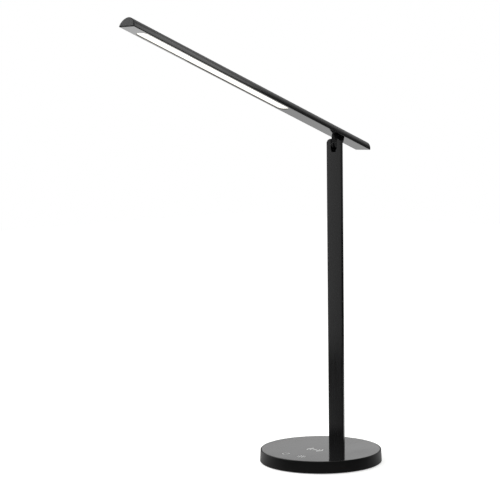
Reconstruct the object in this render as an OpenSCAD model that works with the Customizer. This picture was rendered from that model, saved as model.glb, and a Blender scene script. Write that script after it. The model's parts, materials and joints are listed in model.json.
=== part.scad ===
// Folding LED desk lamp. A round weighted base carries a touch panel and a charging spot,
// a half-round post stands at its back, and a half-round light bar turns on a friction
// hinge at the top of the post and folds down flat in front of it.
// Millimetres. The origin is on the table under the middle of the base, +Z is up, and
// the lamp faces -Y.

/* [Base] */
// Radius of the base at its top edge
base_r = 85; // [80:1:95]
// How much larger the radius is at the foot of the base
base_draft = 0.75; // [0:0.05:1.5]
// Height of the base with the pad it stands on
base_h = 17.6; // [17.2:0.1:24]
// Wall of the base shell
base_wall = 2.4; // [1.8:0.1:3]
// Flat rim of the shell round the glossy panel
rim_w = 1.2; // [0.8:0.1:2]
// Bevel on the outer edges of the base shell
base_bevel = 0.5; // [0.2:0.1:0.8]
// Thickness of the glossy top panel
panel_t = 2; // [1.5:0.1:2.2]
// Thickness of the shell's deck under the panel
deck_t = 1.6; // [1.2:0.1:1.8]
// Thickness of the bottom cover
bottom_t = 2; // [1.6:0.1:2.2]
// Thickness of the pad under the base
pad_t = 1; // [0.6:0.1:1.2]
// How far the pad's edge lies inside the foot of the base
pad_inset = 5.75; // [4:0.25:9]

/* [Post] */
// Width of the post across its flat front
post_w = 27.2; // [26:0.1:32]
// Depth of the post from its flat front to its round back
post_d = 12.2; // [11.8:0.1:13.4]
// Wall of the post tube
post_wall = 1.5; // [1.2:0.1:1.8]
// Distance of the post's flat front inside the base's edge
post_inset = 52; // [48:1:56]
// Radius of the two shoulders at the top of the post
shoulder_r = 8; // [5:0.5:8]
// Length of the plug that holds the post's foot
foot_plug_l = 32; // [20:1:60]
// Thickness of the flange on that plug
foot_flange_t = 3.4; // [3:0.1:3.6]

/* [Hinge] */
// Height of the hinge axis above the table
hinge_h = 444.6; // [436:0.2:480]
// Height of the post's top above the hinge axis
hinge_top = 7.8; // [7:0.1:8.5]
// Distance from the hinge axis to the flat underside of the bar
hinge_drop = 11; // [10.8:0.1:12]
// Radius of the tongue's knuckle
knuckle_r = 6; // [5:0.1:6.2]
// Width of the tongue
tongue_w = 9.4; // [8:0.1:10]
// Length of the tongue's root in front of the axis
root_front = 12; // [11.5:0.5:20]
// Length of the tongue's root behind the axis
root_back = 8; // [7:0.5:9]
// Radius of the hinge pin
pin_r = 2; // [1.8:0.1:2.2]
// Thickness of each friction washer
washer_t = 0.7; // [0.5:0.1:0.9]
// Depth of the slot below the axis at the front of the post
slot_front = 10.9; // [10.5:0.1:13]
// Depth of the slot below the axis at the back, where the tongue stops
slot_back = 4.8; // [4.7:0.1:5.4]
// How much narrower the slot is at its floor, on each side
slot_taper = 1.7; // [0.5:0.1:1.8]
// Length of the hinge head inside the post, below the axis
head_l = 34; // [26:1:60]

/* [Bar] */
// Tilt of the bar above level as it stands
bar_tilt = 19.5; // [0:0.5:40]
// Length of the bar in front of the hinge axis
bar_front = 421; // [400:1:424]
// Length of the bar behind the hinge axis
bar_back = 59; // [50:1:80]
// Width of the bar across its flat underside
bar_w = 27.2; // [26.8:0.1:32]
// Height of the bar from its underside to its round back
bar_d = 12.2; // [12:0.1:14]
// Wall of the bar shell
bar_wall = 1.3; // [1:0.1:1.5]
// Thickness of the underside cover
cover_t = 1.5; // [1.2:0.1:1.8]
// Thickness of the end caps outside the shell
cap_t = 2; // [1.5:0.1:3]
// Bevel on the outer edges of the end caps
cap_bevel = 0.8; // [0.3:0.1:1.2]
// Length of the end caps' plugs inside the shell
cap_plug_l = 6; // [4:0.5:10]
// Radius on the long edges of the post and the bar
edge_r = 0.8; // [0.5:0.1:1.2]

/* [Light] */
// Distance from the bar's tip to the lit window
window_tip = 22.5; // [15:0.5:40]
// Length of the lit window
window_l = 282; // [240:1:300]
// Width of the lit window
window_w = 19.5; // [16:0.1:20]
// Radius of the window's corners
window_r = 7.5; // [3:0.1:7.8]
// Thickness of the diffuser's flange
diffuser_t = 1; // [0.8:0.1:1.2]
// Thickness of the light guide
guide_t = 2; // [1.8:0.1:2.2]
// Number of lamps along each side of the light guide
led_count = 30; // [12:1:36]
// Length of one lamp along the bar
led_l = 2.8; // [2:0.1:3.5]

/* [Inside the base] */
// Thickness of the counterweight
weight_t = 6; // [5:0.1:6.1]
// Gap between the counterweight and the wall of the shell
weight_gap = 10; // [9:0.5:16]
// Thickness of the circuit boards
board_t = 1.2; // [1:0.1:1.6]
// Distance of the charging spot in front of the middle of the base
coil_y = 12.5; // [6:0.5:16]
// Outer radius of the charging coil
coil_r = 21; // [18:0.5:23]
// Thickness of the charging coil
coil_t = 1.2; // [0.8:0.1:1.3]
// Distance of the touch keys inside the base's edge
key_inset = 26; // [19:0.5:28]
// Half the angle between the two touch keys
key_angle = 14; // [10:0.5:18]
// Radius of the socket in the power inlet
inlet_r = 3; // [2.75:0.05:3.2]
// Radius of the pin in the power inlet
inlet_pin_r = 1; // [0.8:0.05:1.25]

/* [Fits] */
// Gap between fixed pieces that slide together
fit = 0.1; // [0.05:0.01:0.15]
// Radial clearance of the hinge pin
run_fit = 0.05; // [0.02:0.01:0.08]
// Gap beside the moving tongue
swing_gap = 0.6; // [0.4:0.1:0.8]

/* [Hidden] */

// Colours of the finishes
black_satin = "#232324";
black_gloss = "#141416";
black_rubber = "#1c1c1c";
steel = "#9a9c9f";
cast_iron = "#4c4d50";
board_green = "#1f5a3c";
copper = "#b8743a";
white_plastic = "#eeeeea";
lit_white = "#fffdf6";
lead_grey = "#5a5c60";

// Levels in the base, from the table up
bottom_z = pad_t;
weight_z = bottom_z + bottom_t;
flange_z = weight_z + weight_t;
post_z = flange_z + foot_flange_t;
deck_top = base_h - panel_t;
deck_z = deck_top - deck_t;
foot_r = base_r + base_draft;
panel_r = base_r - base_bevel - rim_w;
cavity_r = base_r - base_wall;

// The four screws of the bottom cover
cover_boss_r = 3.5;
cover_boss_at = cavity_r - cover_boss_r - 1.5;
cover_screw_r = 1.4;
cover_screw_grip = 7;
screw_head_r = 2.7;
screw_head_t = 1.3;

// The flat front and the middle of the post, and its top
post_setback = base_r - post_inset;
post_y = post_setback + post_d / 2;
post_top = hinge_h + hinge_top;
slot_w = tongue_w + 2 * washer_t + 2 * fit;

// The foot of the post
flange_w = 46;
flange_l = 30;
foot_screw_x = 18;
foot_screw_y = 10;
foot_screw_r = 1.9;
foot_head_r = 3.6;
foot_head_t = 2;
lead_r = 1;
lead_hole_r = 1.8;
lead_z = flange_z + 0.2 + lead_r;

// The hinge pin's head and nut lie in two pockets in the sides of the post, under caps
pin_head_r = 3;
pin_head_t = 1.5;
cheek_seat = slot_w / 2 + 1.2;
spring_washer_t = 0.4;
nut_t = 1.4;
thread_r = 1.4;
cap_x = cheek_seat + spring_washer_t + nut_t + 0.2;

// Heights inside the bar, above its underside
shelf_t = 1;
guide_z = cover_t + diffuser_t;
sheet_t = 0.25;
frame_roof = 0.6;
frame_wall = 0.7;
rib_z = guide_z + guide_t + sheet_t + frame_roof;
rib_w = 4.4;
rib_x = 6.5;
lip_w = 1.6;
cover_w = bar_w - 2 * lip_w;
shelf_x = cover_w / 2 - 0.8;
frame_w = 20.4;
led_board_t = 0.8;
led_t = 0.7;
led_h = 1.6;
guide_w = frame_w - 2 * (frame_wall + led_board_t + led_t + fit);

// Places along the bar, counted from the hinge axis towards the tip
window_far = bar_front - window_tip;
window_near = window_far - window_l;
frame_over = 2;
frame_near = window_near - frame_over;
frame_far = window_far + frame_over;
shell_far = bar_front - cap_t;
shell_near = -(bar_back - cap_t);

// The tongue's throat passes over the floor of the slot when the bar is folded down
throat_z = post_d / 2 + swing_gap;
throat_in = slot_front - 2 * swing_gap;
neck_angle = 10;
// The tongue narrows in front of its knuckle and ends in a round nose
nose_r = 3.2;
nose_y = root_front - nose_r;
nose_turn = acos(nose_r / norm([tongue_w / 2, nose_y - knuckle_r]))
    - atan2(nose_y - knuckle_r, tongue_w / 2);

// The plate of the tongue inside the bar
plate_t = 2.5;
plate_w = 19;
plate_ahead = 20;
plate_behind = 22;
plate_front = root_front + plate_ahead;
plate_back = root_back + plate_behind;
plate_screw_inset = 8;
plate_screw_r = 1.1;
plate_head_r = 2.2;
plate_head_t = 1.6;
plate_post_r = 2.4;
plate_screws = [-plate_front + plate_screw_inset, plate_back - plate_screw_inset];
groove_w = 2.8;
groove_r = 3.8;

// The coil and its board
coil_hole_r = 9;
coil_seat_r = coil_r + 3;
coil_board_r = coil_seat_r + 6;
coil_top = deck_top - fit;
coil_z = coil_top - coil_t;
ferrite_t = 0.8;
ferrite_z = coil_z - ferrite_t;
coil_board_z = ferrite_z - board_t;
coil_boss_r = 2.5;
coil_boss_at = coil_seat_r + 3;

// The touch board and the two sensor pads on it
key_r = base_r - key_inset;
key_x = key_r * sin(key_angle);
key_y = -key_r * cos(key_angle);
sensor_r = 4.5;
touch_margin = 11;
touch_board_w = 2 * (key_x + touch_margin);
touch_board_l = 12;
touch_screw_x = touch_board_w / 2 - 2.5;

// The driver board hangs to the left of the post, with two sockets at its back edge
driver_side = 23;
driver_x = driver_side - base_r;
driver_y = -20;
driver_w = 25;
driver_l = 50;
driver_back = driver_y + driver_l;
driver_gap = 0.8;
driver_z = deck_z - driver_gap - board_t;
driver_inset = 3.5;
driver_screws = [[driver_x + driver_w - driver_inset, driver_y + driver_inset],
                 [driver_x + driver_inset, driver_back - driver_inset]];
socket_w = 6;
socket_h = 2;
post_socket_x = driver_x + driver_w - socket_w / 2;
inlet_socket_x = post_socket_x - socket_w - 1;
touch_lead_x = driver_x + driver_w - 2 * driver_inset;
board_screw_r = 1;
board_head_r = 1.9;
board_head_t = 0.9;

// The power inlet at the back
inlet_w = 9;
inlet_h = 9.4;
inlet_l = 13;
inlet_depth = 9;
inlet_face = foot_r - 0.7;
inlet_back = inlet_face - inlet_l;
inlet_room = 1.5;
inlet_z = weight_z + inlet_h / 2;

$fn = 64;

// Flat below, round above: the section of the post and the bar, inset by a wall
module half_round(w, d, inset = 0) {
    r = (w * w / 4 + d * d) / (2 * d);
    intersection() {
        translate([0, d - r]) circle(r = r - inset);
        translate([-w, inset]) square([2 * w, d]);
    }
}

// The same section with its two long edges rounded
module half_round_soft(w, d, corner) {
    r = (w * w / 4 + d * d) / (2 * d);
    rise = r - d;
    x = sqrt(pow(r - corner, 2) - pow(rise + corner, 2));
    meet = (rise + corner) * r / (r - corner) - rise;
    intersection() {
        translate([0, -rise]) circle(r = r);
        translate([-w, meet]) square([2 * w, d]);
    }
    translate([-x, 0]) square([2 * x, meet]);
    for (side = [-1, 1]) translate([side * x, corner]) circle(r = corner);
}

// A rectangle with round corners, centred
module round_rect(w, l, r) {
    square([w - 2 * r, l], center = true);
    square([w, l - 2 * r], center = true);
    for (x = [-1, 1], y = [-1, 1])
        translate([x * (w / 2 - r), y * (l / 2 - r)]) circle(r = r);
}

// A countersunk screw, head down, with its head's face at z = 0
module flat_screw(r, head_r, head_t, l) {
    cylinder(r1 = head_r, r2 = r, h = head_t);
    cylinder(r = r, h = l);
}

// A lead from one point to another
module lead_run(from, to, r) {
    d = to - from;
    l = norm(d);
    translate(from) rotate([0, acos(d[2] / l), atan2(d[1], d[0])]) cylinder(r = r, h = l);
}

// A lead along three or more points, round at its bends
module lead_route(points, r) {
    for (i = [1:len(points) - 1]) lead_run(points[i - 1], points[i], r);
    for (i = [1:len(points) - 2]) translate(points[i]) sphere(r = r, $fn = 24);
}

// The frame of the bar: the hinge axis is its origin and its tip lies towards -Y
module at_bar() {
    translate([0, post_y, hinge_h]) rotate([-bar_tilt, 0, 0]) children();
}

// Draws a section in the bar's frame from one place along it to another
module along_bar(near, far, height = 0) {
    translate([0, -near, hinge_drop + height]) rotate([90, 0, 0])
        linear_extrude(far - near) children();
}

// A side outline of the hinge, drawn as [y, z] and given a width along X
module across(w) {
    rotate([90, 0, 90]) linear_extrude(w, center = true) children();
}

module at_cover_screws() {
    for (a = [45:90:315]) rotate(a) translate([cover_boss_at, 0]) children();
}

module at_foot_screws() {
    for (x = [-1, 1], y = [-1, 1])
        translate([x * foot_screw_x, post_y + y * foot_screw_y]) children();
}

module at_coil_screws() {
    for (a = [30:120:270]) translate([0, -coil_y]) rotate(a)
        translate([coil_boss_at, 0]) children();
}

module at_keys() {
    for (x = [-1, 1]) translate([x * key_x, key_y]) children();
}

module at_touch_screws() {
    for (x = [-1, 1]) translate([x * touch_screw_x, key_y]) children();
}

module at_driver_screws() {
    for (p = driver_screws) translate(p) children();
}

module foot_pad() {
    color(black_rubber) cylinder(r = foot_r - pad_inset, h = pad_t, $fn = 128);
}

module bottom_cover() {
    color(black_satin) difference() {
        translate([0, 0, bottom_z]) cylinder(r = cavity_r - fit, h = bottom_t, $fn = 128);
        at_cover_screws() {
            translate([0, 0, bottom_z - 1]) cylinder(r = cover_screw_r + fit, h = bottom_t + 2);
            translate([0, 0, bottom_z])
                cylinder(r1 = screw_head_r + fit, r2 = cover_screw_r + fit, h = screw_head_t);
        }
    }
}

module cover_screws() {
    color(steel) at_cover_screws() translate([0, 0, bottom_z])
        flat_screw(cover_screw_r, screw_head_r, screw_head_t, bottom_t + cover_screw_grip);
}

module counterweight() {
    r = cavity_r - weight_gap;
    color(cast_iron) difference() {
        translate([0, 0, weight_z]) rotate_extrude($fn = 128)
            polygon([[0, 0], [r, 0], [r, weight_t - 1], [r - 1, weight_t], [0, weight_t]]);
        translate([-inlet_w / 2 - inlet_room, inlet_back - inlet_room, weight_z - 1])
            cube([inlet_w + 2 * inlet_room, inlet_l + 2 * inlet_room, weight_t + 2]);
        at_foot_screws() {
            translate([0, 0, weight_z - 1]) cylinder(r = foot_screw_r + fit, h = weight_t + 2);
            translate([0, 0, weight_z])
                cylinder(r1 = foot_head_r + fit, r2 = foot_screw_r + fit, h = foot_head_t);
        }
    }
}

module base_shell() {
    color(black_satin) difference() {
        union() {
            rotate_extrude($fn = 128) polygon([
                [0, deck_z], [cavity_r, deck_z], [cavity_r, bottom_z],
                [foot_r - base_bevel, bottom_z], [foot_r, bottom_z + base_bevel],
                [base_r, base_h - base_bevel], [base_r - base_bevel, base_h],
                [panel_r, base_h], [panel_r, deck_top], [0, deck_top]]);
            at_cover_screws() translate([0, 0, weight_z])
                cylinder(r = cover_boss_r, h = deck_z - weight_z + 0.5);
            at_coil_screws() translate([0, 0, ferrite_z])
                cylinder(r = coil_boss_r, h = deck_z - ferrite_z + 0.5);
            at_driver_screws() translate([0, 0, deck_z - driver_gap])
                cylinder(r = coil_boss_r, h = driver_gap + 0.5);
        }
        at_cover_screws() translate([0, 0, weight_z - 1])
            cylinder(r = cover_screw_r + run_fit, h = cover_screw_grip + 1.5);
        at_coil_screws() translate([0, 0, ferrite_z - 1])
            cylinder(r = board_screw_r + run_fit, h = deck_z - ferrite_z + 1 + deck_t * 0.8);
        at_driver_screws() translate([0, 0, deck_z - driver_gap - 1])
            cylinder(r = board_screw_r + run_fit, h = driver_gap + 1 + deck_t * 0.8);
        at_touch_screws() translate([0, 0, deck_z - 1])
            cylinder(r = board_screw_r + run_fit, h = 1 + deck_t * 0.8);
        translate([0, -coil_y, deck_z - 1]) cylinder(r = coil_seat_r, h = deck_t + 2);
        at_keys() translate([0, 0, deck_z - 1]) cylinder(r = sensor_r + 0.5, h = deck_t + 2);
        translate([0, post_setback, deck_z - 1]) linear_extrude(deck_t + 2)
            post_hole();
        translate([0, foot_r, inlet_z]) rotate([90, 0, 0])
            linear_extrude(2 * base_wall + 3, center = true)
                round_rect(inlet_w + 2 * fit, inlet_h + 2 * fit, 1);
    }
}

// The hole round the post in the panel and the deck
module post_hole() {
    translate([0, -fit]) half_round(post_w + 2 * fit, post_d + 2 * fit);
}

module touch_panel() {
    color(black_gloss) difference() {
        translate([0, 0, deck_top]) cylinder(r = panel_r - fit, h = panel_t, $fn = 128);
        translate([0, post_setback, deck_top - 1]) linear_extrude(panel_t + 2) post_hole();
    }
}

module touch_board() {
    color(board_green) difference() {
        translate([0, key_y, deck_z - board_t]) linear_extrude(board_t)
            round_rect(touch_board_w, touch_board_l, 1.5);
        at_touch_screws() translate([0, 0, deck_z - board_t - 1])
            cylinder(r = board_screw_r + fit, h = board_t + 2);
    }
}

module sensor_pads() {
    color(lead_grey) at_keys() translate([0, 0, deck_z]) cylinder(r = sensor_r, h = deck_t);
}

module coil_board() {
    color(board_green) difference() {
        translate([0, -coil_y, coil_board_z]) cylinder(r = coil_board_r, h = board_t);
        at_coil_screws() translate([0, 0, coil_board_z - 1])
            cylinder(r = board_screw_r + fit, h = board_t + 2);
    }
}

module coil_ferrite() {
    color(cast_iron) translate([0, -coil_y, ferrite_z])
        cylinder(r = coil_r + 1, h = ferrite_t);
}

module charging_coil() {
    color(copper) translate([0, -coil_y, coil_z]) rotate_extrude()
        translate([coil_hole_r, 0]) square([coil_r - coil_hole_r, coil_t]);
}

// The board with its parts on the underside, each given by its corner, size and height
module driver_board() {
    parts = [[4, 5, 9, 8, 1.8], [3, 21, 6, 6, 1.2], [14, 20, 7, 7, 1.6], [12, 32, 8, 6, 1.8]];
    sockets = [inlet_socket_x, post_socket_x];
    color(board_green) {
        difference() {
            translate([driver_x, driver_y, driver_z]) cube([driver_w, driver_l, board_t]);
            at_driver_screws() translate([0, 0, driver_z - 1])
                cylinder(r = board_screw_r + fit, h = board_t + 2);
        }
        for (p = parts) translate([driver_x + p[0], driver_y + p[1], driver_z - p[4]])
            cube([p[2], p[3], p[4] + 0.2]);
        for (x = sockets)
            translate([x - socket_w / 2, driver_back - socket_w, driver_z - socket_h])
                cube([socket_w, socket_w, socket_h + 0.2]);
    }
}

module board_screws() {
    color(steel) {
        at_coil_screws() translate([0, 0, coil_board_z])
            board_screw(board_t + deck_z - ferrite_z + 1);
        at_driver_screws() translate([0, 0, driver_z]) board_screw(board_t + driver_gap + 1);
        at_touch_screws() translate([0, 0, deck_z - board_t]) board_screw(board_t + 1);
    }
}

// A small pan-head screw that comes up from under a board
module board_screw(l) {
    cylinder(r = board_screw_r, h = l);
    translate([0, 0, -board_head_t]) cylinder(r = board_head_r, h = board_head_t);
}

// Three thin leads: inlet to driver board, driver board to coil board and to touch board
module board_leads() {
    r = board_t / 2;
    low = driver_z - socket_h / 2;
    turn_y = post_y + flange_l / 2 + inlet_room;
    side = driver_z + board_t - r;
    color(lead_grey) {
        lead_route([[0, inlet_back - fit, low], [0, turn_y, low], [inlet_socket_x, turn_y, low],
                    [inlet_socket_x, driver_back + fit, low]], r);
        lead_run([driver_x + driver_w + fit, -coil_y, side],
                 [-coil_board_r - fit, -coil_y, side], r);
        lead_route([[touch_lead_x, driver_y - fit, side], [touch_lead_x, key_y, side],
                    [-touch_board_w / 2 - fit, key_y, side]], r);
    }
}

module dc_inlet() {
    color(black_rubber) difference() {
        translate([0, inlet_face, inlet_z]) rotate([90, 0, 0])
            linear_extrude(inlet_l) round_rect(inlet_w, inlet_h, 0.9);
        translate([0, inlet_face + 1, inlet_z]) rotate([90, 0, 0])
            cylinder(r = inlet_r, h = inlet_depth + 1);
        translate([0, inlet_face, inlet_z]) rotate([90, 0, 0])
            cylinder(r1 = inlet_r + 0.5, r2 = inlet_r, h = 0.5);
    }
}

module inlet_pin() {
    color(steel) translate([0, inlet_face - 1, inlet_z]) rotate([90, 0, 0])
        cylinder(r = inlet_pin_r, h = inlet_depth - 1);
}

module post_foot() {
    lead_slot = 2 * lead_r + 0.8;
    color(cast_iron) difference() {
        union() {
            translate([0, post_y, flange_z]) linear_extrude(foot_flange_t)
                round_rect(flange_w, flange_l, 4);
            translate([0, post_setback, post_z]) linear_extrude(foot_plug_l)
                half_round(post_w, post_d, post_wall + run_fit);
        }
        at_foot_screws() translate([0, 0, flange_z - 1])
            cylinder(r = foot_screw_r + run_fit, h = foot_flange_t + 2);
        translate([0, post_y, flange_z - 1])
            cylinder(r = lead_hole_r, h = foot_flange_t + foot_plug_l + 2);
        translate([-flange_w, post_y - lead_slot / 2, flange_z - 1])
            cube([flange_w, lead_slot, 1 + 0.4 + 2 * lead_r]);
    }
}

module post_screws() {
    color(steel) at_foot_screws() translate([0, 0, weight_z])
        flat_screw(foot_screw_r, foot_head_r, foot_head_t, weight_t + foot_flange_t);
}

// The front view of the post up to its top, with its two shoulders rounded
module post_front(bottom) {
    half = post_w / 2;
    translate([-half, bottom]) square([post_w, post_top - shoulder_r - bottom]);
    translate([-half + shoulder_r, post_top - shoulder_r - 1])
        square([post_w - 2 * shoulder_r, shoulder_r + 1]);
    for (side = [-1, 1]) translate([side * (half - shoulder_r), post_top - shoulder_r])
        circle(r = shoulder_r);
}

// Turns a front view, drawn as [x, z], into a block that runs through the post
module through_post() {
    translate([0, post_setback + post_d + 1, 0]) rotate([90, 0, 0])
        linear_extrude(post_d + 2) children();
}

// The slot for the tongue: deep and tapered at the front, with a shallow step at the back
module hinge_slot(w) {
    step_y = post_y + post_d / 2 - post_wall - swing_gap;
    half = w / 2;
    translate([0, step_y, hinge_h]) rotate([90, 0, 0])
        linear_extrude(step_y - post_setback + 1) polygon([
            [-half, hinge_top + 1], [-half, -knuckle_r], [slot_taper - half, -slot_front],
            [half - slot_taper, -slot_front], [half, -knuckle_r], [half, hinge_top + 1]]);
    translate([-half, step_y - 1, hinge_h - slot_back])
        cube([w, post_d, slot_back + hinge_top + 1]);
}

module post_tube() {
    color(black_satin) difference() {
        intersection() {
            translate([0, post_setback, post_z]) linear_extrude(post_top - post_z)
                half_round_soft(post_w, post_d, edge_r);
            through_post() post_front(post_z);
        }
        translate([0, post_setback, post_z - 1]) linear_extrude(post_top - post_z + 2)
            half_round(post_w, post_d, post_wall);
        hinge_slot(slot_w + 2 * fit);
        pin_pockets();
    }
}

module post_lead() {
    color(lead_grey)
        lead_route([[post_socket_x, driver_back + fit, lead_z], [post_socket_x, post_y, lead_z],
                    [0, post_y, lead_z], [0, post_y, hinge_h - knuckle_r - 1.6]], lead_r);
}

module hinge_head() {
    color(cast_iron) difference() {
        intersection() {
            translate([0, post_setback, hinge_h - head_l]) linear_extrude(head_l + hinge_top)
                half_round(post_w, post_d, post_wall + run_fit);
            through_post() post_front(hinge_h - head_l);
        }
        hinge_slot(slot_w);
        translate([0, post_y, hinge_h - head_l - 1]) cylinder(r = lead_hole_r, h = head_l);
        along_pin(-cheek_seat - 1) cylinder(r = pin_r + run_fit, h = 2 * cheek_seat + 2);
        pin_pockets();
    }
}

// Places a piece on the hinge axis, running towards +X from a distance off the middle
module along_pin(x) {
    translate([x, post_y, hinge_h]) rotate([0, 90, 0]) children();
}

module pin_pockets() {
    along_pin(-post_w) cylinder(r = pin_head_r + fit, h = post_w - cheek_seat);
    along_pin(cheek_seat) cylinder(r = pin_head_r + fit, h = post_w);
}

module hinge_pin() {
    color(steel) {
        along_pin(-cheek_seat - pin_head_t) cylinder(r = pin_head_r, h = pin_head_t);
        along_pin(-cheek_seat) cylinder(r = pin_r, h = 2 * cheek_seat);
        along_pin(cheek_seat) cylinder(r = thread_r, h = spring_washer_t + nut_t);
    }
}

module friction_washers() {
    color(steel) for (side = [-1, 1])
        along_pin(side * (tongue_w + washer_t + fit) / 2) difference() {
            cylinder(r = knuckle_r - 0.5, h = washer_t, center = true);
            cylinder(r = pin_r + run_fit, h = washer_t + 2, center = true);
        }
}

module spring_washer() {
    color(steel) along_pin(cheek_seat) difference() {
        cylinder(r1 = pin_head_r - 0.1, r2 = pin_head_r - 0.4, h = spring_washer_t);
        translate([0, 0, -1]) cylinder(r = thread_r + run_fit, h = spring_washer_t + 2);
    }
}

module lock_nut() {
    color(steel) along_pin(cheek_seat + spring_washer_t) difference() {
        cylinder(r = pin_head_r, h = nut_t, $fn = 6);
        translate([0, 0, -1]) cylinder(r = thread_r + run_fit, h = nut_t + 2);
    }
}

// Two caps that close the pockets, cut to the round sides of the post
module hinge_caps() {
    color(black_satin) intersection() {
        for (x = [-post_w, cap_x]) along_pin(x) cylinder(r = pin_head_r, h = post_w - cap_x);
        translate([0, post_setback, hinge_h - post_d]) linear_extrude(2 * post_d)
            half_round(post_w, post_d);
    }
}

// Side outline of the tongue, from the knuckle to its root under the bar
module tongue_outline() {
    top = hinge_drop + cover_t + plate_t;
    neck_y = knuckle_r * cos(neck_angle);
    neck_z = knuckle_r * sin(neck_angle);
    circle(r = knuckle_r);
    polygon([
        [-root_front, top], [-root_front, hinge_drop], [-throat_in, throat_z],
        [-neck_y, neck_z], [neck_y, neck_z], [root_back, knuckle_r], [root_back, top]]);
}

// Plan of the tongue: straight at the knuckle, narrowing to a round nose in front
module tongue_plan(grow = 0) {
    half = tongue_w / 2 + grow;
    nose = nose_r + grow;
    x = nose * cos(nose_turn);
    y = -nose_y - nose * sin(nose_turn);
    polygon([[-half, root_back + grow], [-half, -knuckle_r], [-x, y], [x, y],
             [half, -knuckle_r], [half, root_back + grow]]);
    translate([0, -nose_y]) circle(r = nose);
}

module hinge_tongue() {
    plate_z = hinge_drop + cover_t;
    post_h = rib_z - cover_t;
    color(black_satin) at_bar() difference() {
        union() {
            intersection() {
                across(tongue_w) tongue_outline();
                translate([0, 0, -knuckle_r - 1]) linear_extrude(plate_z + 2 * knuckle_r)
                    tongue_plan();
            }
            translate([-plate_w / 2, -plate_front, plate_z])
                cube([plate_w, plate_front + plate_back, plate_t]);
            for (x = [-1, 1], y = plate_screws)
                translate([x * rib_x, y, plate_z]) cylinder(r = plate_post_r, h = post_h);
        }
        rotate([0, 90, 0]) cylinder(r = pin_r + run_fit, h = 2 * tongue_w, center = true);
        rotate([0, 90, 0]) difference() {
            cylinder(r = knuckle_r + 1, h = groove_w, center = true);
            cylinder(r = groove_r, h = groove_w + 1, center = true);
            translate([-3 * knuckle_r, -knuckle_r - 2, -groove_w])
                cube([3 * knuckle_r, 2 * knuckle_r + 4, 2 * groove_w]);
        }
        translate([0, 0, groove_r]) cylinder(r = lead_r + 0.3, h = 2 * hinge_drop);
        for (x = [-1, 1], y = plate_screws) translate([x * rib_x, y, plate_z]) {
            translate([0, 0, -1]) cylinder(r = plate_screw_r + fit, h = post_h + 2);
            translate([0, 0, -1]) cylinder(r = plate_head_r + fit, h = plate_head_t + 1);
        }
    }
}

module tongue_screws() {
    color(steel) at_bar() for (x = [-1, 1], y = plate_screws)
        translate([x * rib_x, y, hinge_drop + cover_t]) {
            cylinder(r = plate_head_r, h = plate_head_t);
            cylinder(r = plate_screw_r, h = rib_z - cover_t + 2.4);
        }
}

// The room inside the bar shell: shelves for the cover and two ribs for the screws
module shell_room() {
    r = (bar_w * bar_w / 4 + bar_d * bar_d) / (2 * bar_d);
    translate([-cover_w / 2, -1]) square([cover_w, 1 + cover_t]);
    translate([-shelf_x, cover_t - 0.5]) square([2 * shelf_x, shelf_t + 1]);
    difference() {
        intersection() {
            translate([0, bar_d - r]) circle(r = r - bar_wall);
            translate([-bar_w, cover_t + shelf_t]) square([2 * bar_w, bar_d]);
        }
        for (side = [-1, 1]) translate([side * rib_x - rib_w / 2, rib_z])
            square([rib_w, bar_d]);
    }
}

module bar_shell() {
    color(black_satin) at_bar() difference() {
        along_bar(shell_near, shell_far) difference() {
            half_round_soft(bar_w, bar_d, edge_r);
            shell_room();
        }
        for (x = [-1, 1], y = plate_screws)
            translate([x * rib_x, y, hinge_drop + rib_z - 1])
                cylinder(r = plate_screw_r + run_fit, h = 1 + 2.6);
    }
}

module window_outline(grow) {
    translate([0, -(window_near + window_far) / 2])
        round_rect(window_w + 2 * grow, window_l + 2 * grow, window_r + grow);
}

module bar_cover() {
    color(black_gloss) at_bar() difference() {
        along_bar(shell_near, shell_far) translate([-cover_w / 2 + fit, 0])
            square([cover_w - 2 * fit, cover_t]);
        translate([0, 0, hinge_drop - 1]) linear_extrude(cover_t + 2) window_outline(0);
        translate([0, 0, hinge_drop - 1]) linear_extrude(cover_t + 2) tongue_plan(fit);
    }
}

// What the bevel round the back of an end cap leaves: a cone
module cap_cone(place, inward) {
    r = (bar_w * bar_w / 4 + bar_d * bar_d) / (2 * bar_d);
    spare = 1;
    translate([0, spare * inward - place, hinge_drop + bar_d - r]) rotate([90 * inward, 0, 0])
        cylinder(r1 = r - cap_bevel - spare, r2 = r - cap_bevel + cap_t + spare,
                 h = cap_t + 2 * spare);
}

// What the bevel on the underside of an end cap leaves
module cap_slope(place, inward) {
    spare = 1;
    across(2 * bar_w) polygon([for (p = [
        [-spare, cap_bevel + spare], [-spare, bar_d + spare], [cap_t + spare, bar_d + spare],
        [cap_t + spare, -spare], [cap_bevel + spare, -spare]])
        [-place - inward * p[0], hinge_drop + p[1]]]);
}

// An end cap: a bevelled plate of the bar's section and a plug that fits the shell
module end_cap(place, inward) {
    plug = place + inward * cap_t;
    intersection() {
        along_bar(min(place, plug), max(place, plug)) half_round_soft(bar_w, bar_d, edge_r);
        cap_cone(place, inward);
        cap_slope(place, inward);
    }
    along_bar(min(plug, plug + inward * cap_plug_l), max(plug, plug + inward * cap_plug_l))
        difference() {
            intersection() {
                half_round(bar_w, bar_d, bar_wall + fit);
                translate([-shelf_x + fit, cover_t + fit])
                    square([2 * (shelf_x - fit), rib_z - cover_t - 2 * fit]);
            }
            translate([-shelf_x + 2, cover_t + 1]) square([2 * shelf_x - 4, bar_d]);
        }
}

module tip_cap() {
    color(black_satin) at_bar() end_cap(bar_front, -1);
}

module tail_cap() {
    color(black_satin) at_bar() end_cap(-bar_back, 1);
}

module diffuser() {
    color(lit_white) at_bar() {
        translate([0, 0, hinge_drop + 0.2]) linear_extrude(cover_t) window_outline(-fit);
        along_bar(frame_near, frame_far, cover_t)
            translate([-shelf_x + 0.3, 0]) square([2 * shelf_x - 0.6, diffuser_t]);
    }
}

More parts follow.
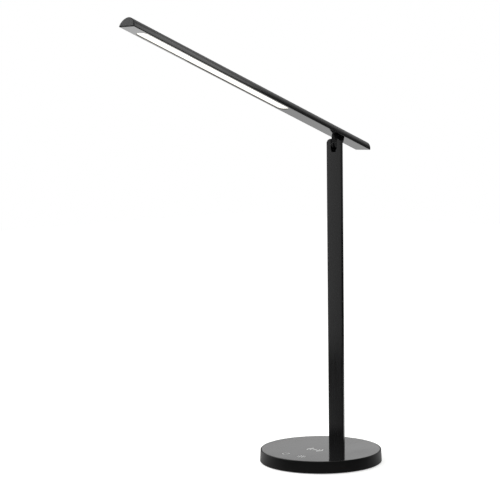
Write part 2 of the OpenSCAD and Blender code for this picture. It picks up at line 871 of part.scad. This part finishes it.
module light_guide() {
    color(lit_white, 0.5) at_bar() along_bar(frame_near + 1, frame_far - 1, guide_z)
        translate([-guide_w / 2, 0]) square([guide_w, guide_t]);
}

module reflector_sheet() {
    color(white_plastic) at_bar()
        along_bar(frame_near + 1, frame_far - 1, guide_z + guide_t)
            translate([-guide_w / 2, 0]) square([guide_w, sheet_t]);
}

module light_frame() {
    room = frame_w - 2 * frame_wall;
    room_h = rib_z - guide_z - frame_roof;
    color(white_plastic) at_bar() difference() {
        along_bar(frame_near, frame_far, guide_z)
            translate([-frame_w / 2, 0]) square([frame_w, rib_z - guide_z]);
        along_bar(frame_near + frame_wall, frame_far - frame_wall, guide_z)
            translate([-room / 2, -1]) square([room, room_h + 1]);
    }
}

module led_boards() {
    x = frame_w / 2 - frame_wall - led_board_t;
    color(board_green) at_bar() for (side = [-1, 1])
        along_bar(frame_near + 1, frame_far - 1, guide_z)
            translate([side * (x + led_board_t / 2) - led_board_t / 2, 0])
                square([led_board_t, guide_t]);
}

module led_chips() {
    x = frame_w / 2 - frame_wall - led_board_t - led_t / 2;
    pitch = window_l / led_count;
    color("#f3d35a") at_bar() for (side = [-1, 1], i = [0:led_count - 1])
        translate([side * x, -(window_near + pitch * (i + 0.5)), hinge_drop + guide_z + guide_t / 2])
            cube([led_t, led_l, led_h], center = true);
}

module bar_lead() {
    level = hinge_drop + cover_t + plate_t + 0.2 + lead_r;
    color(lead_grey) at_bar() {
        lead_run([0, -frame_near + 0.3, level], [0, 0, level], lead_r);
        translate([0, 0, level]) sphere(r = lead_r, $fn = 24);
        lead_run([0, 0, level], [0, 0, groove_r + 0.2], lead_r);
    }
}

foot_pad();
bottom_cover();
cover_screws();
counterweight();
base_shell();
touch_panel();
touch_board();
sensor_pads();
coil_board();
coil_ferrite();
charging_coil();
driver_board();
board_screws();
board_leads();
dc_inlet();
inlet_pin();
post_foot();
post_screws();
post_tube();
post_lead();
hinge_head();
hinge_pin();
friction_washers();
spring_washer();
lock_nut();
hinge_caps();
hinge_tongue();
tongue_screws();
bar_shell();
bar_cover();
tip_cap();
tail_cap();
diffuser();
light_guide();
reflector_sheet();
light_frame();
led_boards();
led_chips();
bar_lead();
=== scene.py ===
"""Looks of the folding LED desk lamp: finishes of every piece, the sunk lit window, the printed
marks on the touch panel, a white studio and the camera of the photograph. Metres, in the
model's frame."""
import json
from collections import namedtuple
from math import cos, pi, radians, sin

import bmesh
import bpy
from mathutils import Matrix, Vector


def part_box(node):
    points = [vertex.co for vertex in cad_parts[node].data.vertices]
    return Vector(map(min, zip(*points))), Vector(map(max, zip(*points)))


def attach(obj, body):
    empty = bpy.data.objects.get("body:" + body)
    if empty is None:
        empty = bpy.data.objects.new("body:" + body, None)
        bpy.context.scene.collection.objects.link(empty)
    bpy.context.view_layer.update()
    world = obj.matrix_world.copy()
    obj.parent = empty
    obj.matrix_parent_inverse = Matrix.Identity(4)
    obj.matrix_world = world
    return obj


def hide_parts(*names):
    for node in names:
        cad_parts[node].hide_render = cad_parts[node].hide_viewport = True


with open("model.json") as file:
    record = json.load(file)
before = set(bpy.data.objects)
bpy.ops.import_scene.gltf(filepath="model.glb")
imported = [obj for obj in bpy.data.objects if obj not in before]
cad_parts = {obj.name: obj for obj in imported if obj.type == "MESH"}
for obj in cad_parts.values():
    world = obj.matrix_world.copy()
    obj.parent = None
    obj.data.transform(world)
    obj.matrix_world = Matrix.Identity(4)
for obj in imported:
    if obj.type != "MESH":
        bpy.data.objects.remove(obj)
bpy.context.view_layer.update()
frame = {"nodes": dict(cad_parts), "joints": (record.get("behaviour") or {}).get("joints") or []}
NODES = frame["nodes"]
MM = 0.001

# The hinge axis and the tilt of the bar at rest
HINGE = Vector(frame["joints"][0]["pos_m"])
BAR_TILT = radians(19.5)

# A noise mostly stays between these values, which are spread over the whole pattern
NOISE_LOW, NOISE_HIGH = 0.3, 0.7
# A wave texture of this scale has a band every 2 mm
WAVE_SCALE = 160.0
# The colour sockets of a Mix node: its two inputs and its output
MIX_A, MIX_B, MIX_OUT = 6, 7, 2

# What a finish is made of: its material, node tree and shader, and the sockets that give
# places on the piece and the noise that its colour follows
Finish = namedtuple("Finish", "material tree shader coords pattern")


def linear(hex_colour):
    """The linear RGBA of an sRGB hex colour."""
    parts = [int(hex_colour[i:i + 2], 16) / 255 for i in (1, 3, 5)]
    curve = [c / 12.92 if c <= 0.04045 else ((c + 0.055) / 1.055) ** 2.4 for c in parts]
    return (*curve, 1.0)


WHITE = linear("#ffffff")


def add(tree, kind, values=(), links=(), **settings):
    """Adds a shader node, gives it its settings and socket values, and links its inputs."""
    made = tree.nodes.new("ShaderNode" + kind)
    for name, value in settings.items():
        setattr(made, name, value)
    for name, value in dict(values).items():
        made.inputs[name].default_value = value
    for name, socket in dict(links).items():
        tree.links.new(socket, made.inputs[name])
    return made


def surface(name, dark, light, size_mm, roughness, bump=None, detail=2.0, stretch=(1, 1, 1),
            turn=(0, 0, 0), **sockets):
    """A finish whose colour, gloss and relief follow one noise. Its cells are about size_mm
    across, drawn out along the axes where stretch is small. Roughness is one value or goes
    from low to high, and bump is the relief's depth in mm and its strength."""
    material = bpy.data.materials.new(name)
    material.use_nodes = True
    tree = material.node_tree
    shader = tree.nodes["Principled BSDF"]
    for socket, value in sockets.items():
        shader.inputs[socket.replace("_", " ")].default_value = value
    coords = add(tree, "TexCoord").outputs["Object"]
    placed = add(tree, "Mapping", {"Scale": stretch, "Rotation": turn}, {"Vector": coords})
    noise = add(tree, "TexNoise", {"Scale": 1 / (size_mm * MM), "Detail": detail},
                {"Vector": placed.outputs["Vector"]})
    pattern = add(tree, "MapRange", {"From Min": NOISE_LOW, "From Max": NOISE_HIGH},
                  {"Value": noise.outputs["Fac"]}).outputs["Result"]
    colour = add(tree, "Mix", {MIX_A: linear(dark), MIX_B: linear(light)}, {0: pattern},
                 data_type="RGBA")
    tree.links.new(colour.outputs[MIX_OUT], shader.inputs["Base Color"])
    if isinstance(roughness, tuple):
        low, high = roughness
        gloss = add(tree, "MapRange", {"To Min": low, "To Max": high}, {"Value": pattern})
        tree.links.new(gloss.outputs["Result"], shader.inputs["Roughness"])
    else:
        shader.inputs["Roughness"].default_value = roughness
    if bump:
        depth_mm, strength = bump
        relief = add(tree, "Bump", {"Strength": strength, "Distance": depth_mm * MM},
                     {"Height": pattern})
        tree.links.new(relief.outputs["Normal"], shader.inputs["Normal"])
    return Finish(material, tree, shader, coords, pattern)


def anodised_aluminium(name, turn=(0, 0, 0), stretch=(1, 1, 0.02)):
    """Satin black anodised extrusion: a soft sheen with very fine die lines along its length.
    The real lines are 0.1 mm apart and are drawn 1.2 mm apart so that they show."""
    made = surface(name, "#060606", "#0d0d0e", 1.2, (0.22, 0.3), (0.008, 0.25), detail=3.0,
                   stretch=stretch, turn=turn)
    # The sheen drifts a little in clouds 35 mm across
    cloud = add(made.tree, "TexNoise", {"Scale": 1 / (35 * MM)}, {"Vector": made.coords})
    drift = add(made.tree, "MapRange", {"From Min": NOISE_LOW, "From Max": NOISE_HIGH,
                                        "To Min": -0.02, "To Max": 0.03},
                {"Value": cloud.outputs["Fac"]}).outputs["Result"]
    roughness = made.shader.inputs["Roughness"]
    lines = roughness.links[0].from_socket
    sheen = add(made.tree, "Math", {}, {0: lines, 1: drift}, operation="ADD")
    made.tree.links.new(sheen.outputs["Value"], roughness)
    return made.material


def moulded_plastic(name, dark="#050505", light="#0a0a0b", roughness=(0.34, 0.48)):
    """Black ABS or nylon from a spark-eroded mould: a matt skin of fine pits, drawn 0.9 mm
    across."""
    return surface(name, dark, light, 0.9, roughness, (0.016, 0.35), detail=3.0,
                   Specular_IOR_Level=0.45).material


def polished_acrylic(name):
    """Polished black acrylic: a sharp reflection with faint wipe marks 30 mm across."""
    return surface(name, "#050506", "#080809", 30, (0.06, 0.12), detail=3.0,
                   stretch=(1, 0.4, 1), IOR=1.49).material


def cast_zinc(name, roughness=(0.28, 0.4), gloss=0.5):
    """Black painted zinc casting: slightly wavy from the die, with orange-peel paint 1.5 mm
    across."""
    return surface(name, "#080809", "#0e0e0f", 1.5, roughness, (0.012, 0.4),
                   Specular_IOR_Level=gloss).material


def sand_cast_iron(name):
    """Cast iron with its dark skin: grainy and dull, with rust-free pits about 2 mm across."""
    return surface(name, "#2c2d2f", "#4a4b4d", 2.0, 0.7, (0.08, 0.6), detail=4.0,
                   Metallic=0.6).material


def plated_steel(name):
    """Zinc-plated steel: bright, with fine turning lines drawn 0.5 mm apart."""
    return surface(name, "#9a9da0", "#b8babc", 0.5, (0.24, 0.4), stretch=(0.1, 1, 1),
                   Metallic=1.0).material


def moulded_rubber(name):
    """Black rubber: matt, with a chalky bloom in soft patches 8 mm across and a skin of 1 mm
    grain."""
    made = surface(name, "#0d0d0d", "#191919", 8, 0.75, detail=4.0, Specular_IOR_Level=0.3)
    skin = add(made.tree, "TexNoise", {"Scale": 1 / MM}, {"Vector": made.coords})
    relief = add(made.tree, "Bump", {"Strength": 0.4, "Distance": 0.05 * MM},
                 {"Height": skin.outputs["Fac"]})
    made.tree.links.new(relief.outputs["Normal"], made.shader.inputs["Normal"])
    return made.material


def lit_opal(name, strength):
    """Opal acrylic lit from behind: an even, slightly warm white with a faint 12 mm mottle."""
    made = surface(name, "#d8d6d0", "#dedcd6", 12, 0.45, Emission_Strength=strength)
    glow = add(made.tree, "Mix", {MIX_A: linear("#fbf9ee"), MIX_B: linear("#fffdf4")},
               {0: made.pattern}, data_type="RGBA")
    made.tree.links.new(glow.outputs[MIX_OUT], made.shader.inputs["Emission Color"])
    return made.material


def clear_acrylic(name):
    """Clear acrylic light guide, frosted by a pattern of dots 2 mm apart."""
    made = surface(name, "#f0f3f4", "#f6f8f9", 20, 0.05, Transmission_Weight=0.9, IOR=1.49)
    dots = add(made.tree, "TexVoronoi", {"Scale": 1 / (2 * MM)}, {"Vector": made.coords})
    frost = add(made.tree, "MapRange", {"From Min": 0.1, "From Max": 0.5, "To Min": 0.4,
                                        "To Max": 0.05}, {"Value": dots.outputs["Distance"]})
    made.tree.links.new(frost.outputs["Result"], made.shader.inputs["Roughness"])
    return made.material


def white_film(name):
    """White polycarbonate and reflector film: bright and matt with a faint 3 mm mottle."""
    return surface(name, "#e6e6e2", "#f3f3f0", 3, 0.55).material


def board_laminate(name):
    """Glass-epoxy board under green solder mask, with its weave drawn 2 mm apart."""
    dark, light = "#174a30", "#206040"
    made = surface(name, dark, light, 6, 0.35)
    weave = add(made.tree, "TexWave", {"Scale": WAVE_SCALE, "Distortion": 1.0},
                {"Vector": made.coords})
    colour = add(made.tree, "Mix", {MIX_A: linear(dark), MIX_B: linear(light)},
                 {0: weave.outputs["Fac"]}, data_type="RGBA")
    made.tree.links.new(colour.outputs[MIX_OUT], made.shader.inputs["Base Color"])
    return made.material


def lamp_phosphor(name):
    """Yellow phosphor gel of the small lamps, a trace uneven at 0.8 mm."""
    return surface(name, "#e8bd3c", "#f6d661", 0.8, 0.4).material


def enamelled_copper(name, centre):
    """Copper wire wound flat, drawn as rings 2 mm apart round the coil's middle."""
    made = surface(name, "#a45c33", "#b4683a", 10, 0.3, Metallic=1.0)
    placed = add(made.tree, "Mapping", {"Location": [-c for c in centre]},
                 {"Vector": made.coords})
    rings = add(made.tree, "TexWave", {"Scale": WAVE_SCALE}, {"Vector": placed.outputs["Vector"]},
                wave_type="RINGS", rings_direction="Z")
    colour = add(made.tree, "Mix", {MIX_A: linear("#8c4a26"), MIX_B: linear("#c98050")},
                 {0: rings.outputs["Fac"]}, data_type="RGBA")
    made.tree.links.new(colour.outputs[MIX_OUT], made.shader.inputs["Base Color"])
    return made.material


def insulated_lead(name):
    """Grey PVC insulation, slightly shiny, with a faint 2 mm mottle."""
    return surface(name, "#4b4d51", "#5f6165", 2, 0.45).material


def screen_ink(name, colour):
    """White screen-printing ink: matt, a little thin in places 0.6 mm across."""
    return surface(name, "#b9bab9", colour, 0.6, 0.5, detail=3.0).material


def dress(material, *names):
    """Gives CAD nodes a material."""
    for name in names:
        for place in NODES[name].material_slots:
            place.material = material


def dress_nodes():
    """Every CAD node gets the finish of the real piece."""
    dress(anodised_aluminium("anodised_post"), "post_tube")
    dress(anodised_aluminium("anodised_bar", (BAR_TILT, 0, 0), (1, 0.02, 1)), "bar_shell")
    dress(moulded_plastic("base_abs"), "base_shell", "bottom_cover", "hinge_caps")
    dress(moulded_plastic("cap_abs", "#141415", "#2a2a2b", (0.44, 0.58)), "tip_cap", "tail_cap")
    dress(moulded_plastic("inlet_nylon", "#0a0a0a", "#111111", (0.24, 0.38)), "dc_inlet")
    dress(polished_acrylic("acrylic_panel"), "touch_panel")
    dress(polished_acrylic("acrylic_underside"), "bar_cover")
    dress(cast_zinc("painted_zinc"), "hinge_head")
    dress(cast_zinc("matt_zinc", (0.45, 0.55), 0.2), "hinge_tongue")
    dress(sand_cast_iron("grey_iron"), "counterweight", "post_foot", "coil_ferrite")
    dress(plated_steel("plated_steel"), "cover_screws", "board_screws", "post_screws",
          "hinge_pin", "friction_washers", "spring_washer", "lock_nut", "tongue_screws",
          "inlet_pin")
    dress(moulded_rubber("black_rubber"), "foot_pad", "sensor_pads")
    dress(clear_acrylic("clear_guide"), "light_guide")
    dress(white_film("white_film"), "reflector_sheet", "light_frame")
    dress(board_laminate("board_laminate"), "touch_board", "coil_board", "driver_board",
          "led_boards")
    dress(lamp_phosphor("lamp_phosphor"), "led_chips")
    low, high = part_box("charging_coil")
    dress(enamelled_copper("enamelled_copper", (low + high) / 2), "charging_coil")
    dress(insulated_lead("grey_lead"), "board_leads", "post_lead", "bar_lead")


def make_object(name, mesh, material):
    """An object of a finished bmesh, with its material."""
    data = bpy.data.meshes.new(name)
    mesh.to_mesh(data)
    mesh.free()
    data.materials.append(material)
    made = bpy.data.objects.new(name, data)
    bpy.context.scene.collection.objects.link(made)
    return made


def raise_faces(mesh, height):
    """Thickens every face of a flat bmesh upwards."""
    raised = bmesh.ops.extrude_face_region(mesh, geom=mesh.faces[:])["geom"]
    verts = [v for v in raised if isinstance(v, bmesh.types.BMVert)]
    bmesh.ops.translate(mesh, verts=verts, vec=(0, 0, height))


# The lit window, counted from the hinge axis along the bar, across it and up from it. The
# panel lies in the opening of the underside, and its flange lies on that cover's back.
BAR_PLACE = Matrix.Translation(HINGE) @ Matrix.Rotation(-BAR_TILT, 4, "X")
UNDERSIDE = 11 * MM
WINDOW_MIDDLE = 257.5 * MM
WINDOW_SIZE = (19.4 * MM, 281.9 * MM)
WINDOW_CORNER, CORNER_STEPS = 7.45 * MM, 10
WINDOW_SUNK = 1.1 * MM
WINDOW_RIM, RIM_STEPS = 0.15 * MM, 2
WINDOW_GLOW = 0.8
FLANGE_LOW = 1.5 * MM
FLANGE_SIZE = (21.8 * MM, 286 * MM, 1 * MM)
PANEL_INTO_FLANGE = 0.1 * MM
FLAT = 0.01 * MM


def make_window():
    """The opal panel, sunk 1.1 mm into the opening, as the dark inner edge of the opening
    beyond it shows in the photograph. In the model it lies 0.2 mm deep."""
    mesh = bmesh.new()
    panel = bmesh.ops.create_grid(mesh, x_segments=1, y_segments=1, size=0.5)["verts"]
    bmesh.ops.transform(mesh, matrix=Matrix.Diagonal((*WINDOW_SIZE, 1, 1)), verts=panel)
    bmesh.ops.bevel(mesh, geom=panel, offset=WINDOW_CORNER, affect="VERTICES",
                    segments=CORNER_STEPS, profile=0.5, material=-1)
    raise_faces(mesh, FLANGE_LOW - WINDOW_SUNK + PANEL_INTO_FLANGE)
    rim = [edge for edge in mesh.edges if all(abs(v.co.z) < FLAT for v in edge.verts)]
    bmesh.ops.bevel(mesh, geom=rim, offset=WINDOW_RIM, affect="EDGES", segments=RIM_STEPS,
                    profile=0.5, material=-1)
    bmesh.ops.translate(mesh, verts=mesh.verts, vec=(0, 0, UNDERSIDE + WINDOW_SUNK))
    flange = bmesh.ops.create_cube(mesh, size=1)["verts"]
    lift = Matrix.Translation((0, 0, UNDERSIDE + FLANGE_LOW + FLANGE_SIZE[2] / 2))
    bmesh.ops.transform(mesh, matrix=lift @ Matrix.Diagonal((*FLANGE_SIZE, 1)), verts=flange)
    bmesh.ops.recalc_face_normals(mesh, faces=mesh.faces)
    place = BAR_PLACE @ Matrix.Translation((0, -WINDOW_MIDDLE, 0))
    bmesh.ops.transform(mesh, matrix=place, verts=mesh.verts)
    window = make_object("lit_window", mesh, lit_opal("lit_opal", WINDOW_GLOW))
    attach(window, "bar")
    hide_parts("diffuser")


# The printed marks lie on the panel, their lower face a trace above it, over the sensor pads
# of the two keys and over the coil
PANEL_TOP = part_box("touch_panel")[1].z
INK_T = 0.04 * MM
INK_LIFT = 0.01 * MM
PADS_LOW, PADS_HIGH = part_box("sensor_pads")
KEY_Y = (PADS_LOW.y + PADS_HIGH.y) / 2
KEY_X = PADS_HIGH.x - (PADS_HIGH.y - PADS_LOW.y) / 2
COIL_LOW, COIL_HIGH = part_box("charging_coil")
COIL_Y = (COIL_LOW.y + COIL_HIGH.y) / 2
# Their strokes, with angles in degrees anticlockwise from +X
STROKE = 1.3 * MM
ARC_STEP = 7.5
FEWEST_STEPS = 6
SAME_POINT = 0.001 * MM
STANDBY_RING, STANDBY_ARC = 4.6 * MM, (125, 415)
STANDBY_BAR, STANDBY_BAR_Y = 4.4 * MM, 3.9 * MM
SUN_RING, RAY_LENGTH, RAY_REACH, RAY_STEP = 2.4 * MM, 2.2 * MM, 5.0 * MM, 45
BOLT_MM = ((0.9, 5.8), (-3.0, -0.8), (-0.3, -0.8), (-1.1, -5.8), (3.0, 1.0), (0.3, 1.0))
CHARGE_RADII, CHARGE_HALF_ARC, CHARGE_STROKE = (6.8 * MM, 10.8 * MM), 40, 2.2 * MM


def arc(mesh, radius, start, end, width=STROKE):
    """A flat stroke along an arc."""
    inner, outer = radius - width / 2, radius + width / 2
    turn = Matrix.Rotation(radians(start), 3, "Z")
    ends = [mesh.verts.new(turn @ Vector((r, 0, 0))) for r in (inner, outer)]
    edge = mesh.edges.new(ends)
    bmesh.ops.spin(mesh, geom=[*ends, edge], cent=(0, 0, 0), axis=(0, 0, 1), dvec=(0, 0, 0),
                   angle=radians(end - start), use_merge=end - start >= 360,
                   steps=max(FEWEST_STEPS, int((end - start) / ARC_STEP)))


def straight(mesh, length, centre, angle):
    """A flat straight stroke."""
    grid = bmesh.ops.create_grid(mesh, x_segments=1, y_segments=1, size=0.5)
    place = (Matrix.Translation((*centre, 0)) @ Matrix.Rotation(radians(angle), 4, "Z")
             @ Matrix.Diagonal((length, STROKE, 1, 1)))
    bmesh.ops.transform(mesh, matrix=place, verts=grid["verts"])


def printed(name, draw, x, y, ink):
    """A printed mark: flat strokes drawn round the origin, thickened to a film of ink."""
    mesh = bmesh.new()
    draw(mesh)
    bmesh.ops.remove_doubles(mesh, verts=mesh.verts, dist=SAME_POINT)
    bmesh.ops.recalc_face_normals(mesh, faces=mesh.faces)
    raise_faces(mesh, INK_T)
    bmesh.ops.translate(mesh, verts=mesh.verts, vec=(x, y, PANEL_TOP + INK_LIFT))
    bmesh.ops.recalc_face_normals(mesh, faces=mesh.faces)
    mark = make_object(name, mesh, ink)
    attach(mark, "stand")


def standby_mark(mesh):
    """A broken ring with a short bar in its gap."""
    arc(mesh, STANDBY_RING, *STANDBY_ARC)
    straight(mesh, STANDBY_BAR, (0, STANDBY_BAR_Y), 90)


def brightness_mark(mesh):
    """A small ring with eight rays."""
    arc(mesh, SUN_RING, 0, 360)
    for angle in range(0, 360, RAY_STEP):
        middle = RAY_REACH * cos(radians(angle)), RAY_REACH * sin(radians(angle))
        straight(mesh, RAY_LENGTH, middle, angle)


def charging_mark(mesh):
    """A bolt between two pairs of arcs."""
    mesh.faces.new([mesh.verts.new((x * MM, y * MM, 0)) for x, y in BOLT_MM])
    for radius in CHARGE_RADII:
        for middle in (0, 180):
            arc(mesh, radius, middle - CHARGE_HALF_ARC, middle + CHARGE_HALF_ARC, CHARGE_STROKE)


def print_panel():
    """The generic marks of the touch keys and the charging spot."""
    # The standby mark's ink is the white ink of the other marks, given greyer: painted shade on
    # that mark
    soft = screen_ink("painted_shade_ink", "#c9cac9")
    bright = screen_ink("bright_ink", "#f0f1f0")
    printed("standby_print", standby_mark, -KEY_X, KEY_Y, soft)
    printed("brightness_print", brightness_mark, KEY_X, KEY_Y, bright)
    printed("charging_print", charging_mark, 0, COIL_Y, bright)


# The camera of the photograph: its place round the lamp, its turn and its lens
CAMERA_DISTANCE = 2.1432
CAMERA_AZIMUTH = radians(40.867)
CAMERA_HEIGHT = 0.4837
CAMERA_YAW = radians(2.575)
CAMERA_PITCH = radians(4.735)
CAMERA_ROLL = radians(-0.691)
CAMERA_LENS = 110.93
CAMERA_FAR = 50
SENSOR_WIDTH = 36.0


def make_camera():
    """The photograph's camera, from its place round the lamp and its turn."""
    heading = CAMERA_AZIMUTH + CAMERA_YAW
    place = Vector((sin(CAMERA_AZIMUTH) * CAMERA_DISTANCE, -cos(CAMERA_AZIMUTH) * CAMERA_DISTANCE,
                    CAMERA_HEIGHT))
    ahead = Vector((-sin(heading) * cos(CAMERA_PITCH), cos(heading) * cos(CAMERA_PITCH),
                    -sin(CAMERA_PITCH)))
    right = Vector((cos(heading), sin(heading), 0))
    up = right.cross(ahead)
    turned_right = right * cos(CAMERA_ROLL) + up * sin(CAMERA_ROLL)
    turned_up = up * cos(CAMERA_ROLL) - right * sin(CAMERA_ROLL)
    data = bpy.data.cameras.new("camera")
    data.sensor_width = SENSOR_WIDTH
    data.lens = CAMERA_LENS
    data.clip_end = CAMERA_FAR
    camera = bpy.data.objects.new("camera", data)
    bpy.context.scene.collection.objects.link(camera)
    turn = Matrix((turned_right, turned_up, -ahead)).transposed()
    camera.matrix_world = Matrix.Translation(place) @ turn.to_4x4()
    bpy.context.scene.camera = camera


# The studio. A place is counted from the table under the lamp: behind the lamp, to its right
# and up, as the photograph shows it. Glows are counted with white as 1, and the edge of a glow
# in the room is the cosine of its angle from the glow's middle.
# Matt surfaces get an even light. Reflections see a dim room with a bright patch that fades
# from its middle to its edge.
EVEN_LIGHT = 0.7
ROOM_GLOW = 0.1
PATCH_GLOW = 0.55
PATCH_PLACE = (0.8, 0.45, 0.4)
PATCH_EDGE = 0.85
# In reflections the front of the room glows too, and fades between two edges
FRONT_GLOW = 0.3
FRONT_EDGES = (0.45, 0.85)
# The floor's half width, and the glow that its paper adds for the lens
FLOOR_HALF = 4.0
FLOOR_GLOW = 0.5
# In reflections the floor is white on a round patch behind the lamp, which fades between two
# radii, and almost black elsewhere
FLOOR_PATCH = (0.62, -0.04, 0)
FLOOR_RADII = (0.49, 0.77)
FLOOR_DARK = 0.01
# Soft boxes: name, place, the point of the model that it faces, width, height and glow
SOFT_BOXES = (
    # Far behind the lamp, where the glossy panel mirrors it
    ("back_box", (2.5, 0, 0.56), (0, 0, 0.02), 0.9, 0.3, 0.75),
    # Close on the left, for the post and for the side of the base
    ("left_box", (0.1, -0.3, 0.295), (0, 0.03, 0.295), 0.3, 0.4, 0.82),
    ("low_box", (0.1, -0.3, 0.03), (0, 0.03, 0.03), 0.3, 0.04, 0.4),
    # High on the left for the bar's tip, and close on the bar's right for its round back
    ("tip_box", (-0.14, -1.2, 1.15), (0, -0.36, 0.6), 1.0, 0.8, 2.4),
    ("bar_box", (-0.12, 0.09, 0.69), (0.013, -0.244, 0.555), 0.22, 0.19, 1.6),
    # Overhead
    ("top_box", (0, 0, 2.0), (0, 0, 0.2), 1.2, 1.2, 1.0),
)


def studio_place(behind, right, up):
    """The model's coordinates of a studio place."""
    back = Vector((-sin(CAMERA_AZIMUTH), cos(CAMERA_AZIMUTH), 0))
    return back * behind + Vector((back.y, -back.x, 0)) * right + Vector((0, 0, up))


def softbox(name, place, target, width, height, glow):
    """A flat white light at a studio place, which faces a point of the model. Its glow is how
    bright its face is, and a square metre of glow 1 gives pi watts."""
    data = bpy.data.lights.new(name, "AREA")
    data.shape = "RECTANGLE"
    data.size, data.size_y = width, height
    data.energy = glow * pi * width * height
    light = bpy.data.objects.new(name, data)
    bpy.context.scene.collection.objects.link(light)
    light.visible_camera = False
    start = studio_place(*place)
    look = (Vector(target) - start).to_track_quat("-Z", "Y")
    light.matrix_world = Matrix.Translation(start) @ look.to_matrix().to_4x4()


def choose_by_ray(tree, seen, mirrored, lit):
    """The shader of a background: one as the lens sees it, also through clear pieces, one in
    reflections, and one for the light on matt surfaces."""
    path = add(tree, "LightPath").outputs
    direct = add(tree, "Math", {}, {0: path["Is Camera Ray"], 1: path["Is Transmission Ray"]},
                 operation="MAXIMUM").outputs["Value"]
    unseen = add(tree, "MixShader", {}, {0: path["Is Glossy Ray"], 1: lit, 2: mirrored})
    return add(tree, "MixShader", {}, {0: direct, 1: unseen.outputs[0], 2: seen}).outputs[0]


def make_world():
    """White to the lens. Reflections see a dim room with a soft bright patch high behind the
    lamp and a dimmer glow in front of it, and matt surfaces get an even light."""
    world = bpy.data.worlds.new("studio")
    bpy.context.scene.world = world
    world.use_nodes = True
    tree = world.node_tree
    direction = add(tree, "TexCoord").outputs["Object"]
    to_patch = add(tree, "VectorMath", {1: studio_place(*PATCH_PLACE).normalized()},
                   {0: direction}, operation="DOT_PRODUCT").outputs["Value"]
    room = add(tree, "MapRange", {"From Min": PATCH_EDGE, "From Max": 1.0, "To Min": ROOM_GLOW,
                                  "To Max": PATCH_GLOW}, {"Value": to_patch},
               interpolation_type="SMOOTHSTEP").outputs["Result"]
    to_front = add(tree, "VectorMath", {1: studio_place(-1, 0, 0)}, {0: direction},
                   operation="DOT_PRODUCT").outputs["Value"]
    outer, inner = FRONT_EDGES
    front = add(tree, "MapRange", {"From Min": outer, "From Max": inner, "To Min": 0.0,
                                   "To Max": FRONT_GLOW}, {"Value": to_front},
                interpolation_type="SMOOTHSTEP").outputs["Result"]
    glow = add(tree, "Math", {}, {0: room, 1: front}, operation="ADD").outputs["Value"]
    white = add(tree, "Background", {"Color": WHITE, "Strength": 1.0}).outputs[0]
    mirrored = add(tree, "Background", {"Color": WHITE}, {"Strength": glow}).outputs[0]
    even = add(tree, "Background", {"Color": WHITE, "Strength": EVEN_LIGHT}).outputs[0]
    tree.links.new(choose_by_ray(tree, white, mirrored, even),
                   tree.nodes["World Output"].inputs["Surface"])


def make_floor():
    """A pale paper floor, white to the lens where no shadow falls on it. Reflections see it
    white behind the lamp and almost black elsewhere."""
    material = bpy.data.materials.new("pale_floor")
    material.use_nodes = True
    tree = material.node_tree
    tree.nodes.remove(tree.nodes["Principled BSDF"])
    coords = add(tree, "TexCoord").outputs["Object"]
    paper = add(tree, "BsdfDiffuse", {"Color": linear("#e8e8e6")}).outputs[0]
    glow = add(tree, "Emission", {"Color": WHITE, "Strength": FLOOR_GLOW}).outputs[0]
    white = add(tree, "AddShader", {}, {0: paper, 1: glow}).outputs[0]
    away = add(tree, "VectorMath", {1: studio_place(*FLOOR_PATCH)}, {0: coords},
               operation="DISTANCE").outputs["Value"]
    inner, outer = FLOOR_RADII
    patch = add(tree, "MapRange", {"From Min": inner, "From Max": outer, "To Min": 1.0,
                                   "To Max": FLOOR_DARK}, {"Value": away},
                interpolation_type="SMOOTHSTEP").outputs["Result"]
    mirrored = add(tree, "Emission", {"Color": WHITE}, {"Strength": patch}).outputs[0]
    tree.links.new(choose_by_ray(tree, white, mirrored, paper),
                   tree.nodes["Material Output"].inputs["Surface"])
    mesh = bmesh.new()
    bmesh.ops.create_grid(mesh, x_segments=1, y_segments=1, size=FLOOR_HALF)
    make_object("floor", mesh, material)


dress_nodes()
make_window()
print_panel()
make_camera()
make_world()
make_floor()
for row in SOFT_BOXES:
    softbox(*row)
bpy.context.scene.view_settings.view_transform = "Standard"
